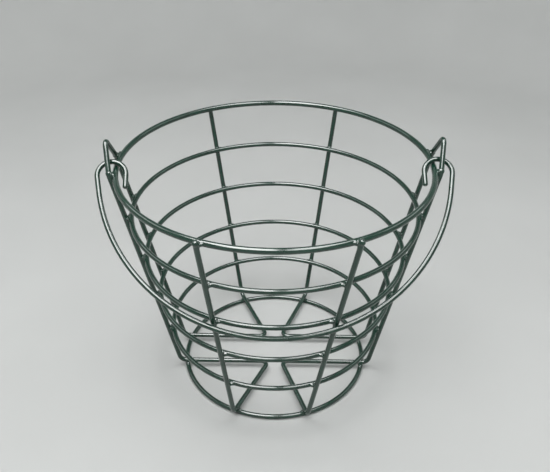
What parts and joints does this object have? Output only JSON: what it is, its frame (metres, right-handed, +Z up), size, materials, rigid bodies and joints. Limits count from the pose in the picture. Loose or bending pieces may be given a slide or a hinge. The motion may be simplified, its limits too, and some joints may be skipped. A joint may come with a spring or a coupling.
{
  "type": "golf ball bucket",
  "caption": "Tapered open basket of coated steel wire for golf balls: round hoops welded inside bent uprights, an open wire floor and a swinging bail hooked through two side ears.",
  "frame": {"origin": "on the floor, under the middle of the rim", "axes": "+Z up, -Y to the front where the bail hangs, +X to the bucket's right as seen in the picture"},
  "size_m": [0.2854, 0.2584, 0.227],
  "materials": {
    "coated_wire": "glossy dip coating over steel wire",
    "coated_weld": "glossy dip coating over a small weld bead"
  },
  "bodies": {
    "basket": {"rim_hoop": "coated_wire", "hoop_2": "coated_wire", "hoop_3": "coated_wire", "hoop_4": "coated_wire", "hoop_5": "coated_wire", "base_hoop": "coated_wire", "left_frame_wire": "coated_wire", "right_frame_wire": "coated_wire", "weld_rim_rear_left": "coated_weld", "weld_rim_left_rear": "coated_weld", "weld_rim_left_front": "coated_weld", "weld_rim_front_left": "coated_weld", "weld_rim_rear_right": "coated_weld", "weld_rim_right_rear": "coated_weld", "weld_rim_right_front": "coated_weld", "weld_rim_front_right": "coated_weld", "weld_hoop_2_rear_left": "coated_weld", "weld_hoop_2_left_rear": "coated_weld", "weld_hoop_2_left_front": "coated_weld", "weld_hoop_2_front_left": "coated_weld", "weld_hoop_2_rear_right": "coated_weld", "weld_hoop_2_right_rear": "coated_weld", "weld_hoop_2_right_front": "coated_weld", "weld_hoop_2_front_right": "coated_weld", "weld_hoop_3_rear_left": "coated_weld", "weld_hoop_3_left_rear": "coated_weld", "weld_hoop_3_left_front": "coated_weld", "weld_hoop_3_front_left": "coated_weld", "weld_hoop_3_rear_right": "coated_weld", "weld_hoop_3_right_rear": "coated_weld", "weld_hoop_3_right_front": "coated_weld", "weld_hoop_3_front_right": "coated_weld", "weld_hoop_4_rear_left": "coated_weld", "weld_hoop_4_left_rear": "coated_weld", "weld_hoop_4_left_front": "coated_weld", "weld_hoop_4_front_left": "coated_weld", "weld_hoop_4_rear_right": "coated_weld", "weld_hoop_4_right_rear": "coated_weld", "weld_hoop_4_right_front": "coated_weld", "weld_hoop_4_front_right": "coated_weld", "weld_hoop_5_rear_left": "coated_weld", "weld_hoop_5_left_rear": "coated_weld", "weld_hoop_5_left_front": "coated_weld", "weld_hoop_5_front_left": "coated_weld", "weld_hoop_5_rear_right": "coated_weld", "weld_hoop_5_right_rear": "coated_weld", "weld_hoop_5_right_front": "coated_weld", "weld_hoop_5_front_right": "coated_weld", "weld_base_rear_left": "coated_weld", "weld_base_left_rear": "coated_weld", "weld_base_left_front": "coated_weld", "weld_base_front_left": "coated_weld", "weld_base_rear_right": "coated_weld", "weld_base_right_rear": "coated_weld", "weld_base_right_front": "coated_weld", "weld_base_front_right": "coated_weld"},
    "bail": {"bail": "coated_wire"}
  },
  "joints": [
    {"name": "bail_swing", "type": "hinge", "parent": "basket", "child": "bail", "pos_m": [0, -0.0063, 0.2102], "axis": [-1, 0, 0], "range_deg": [0, 242]}
  ]
}
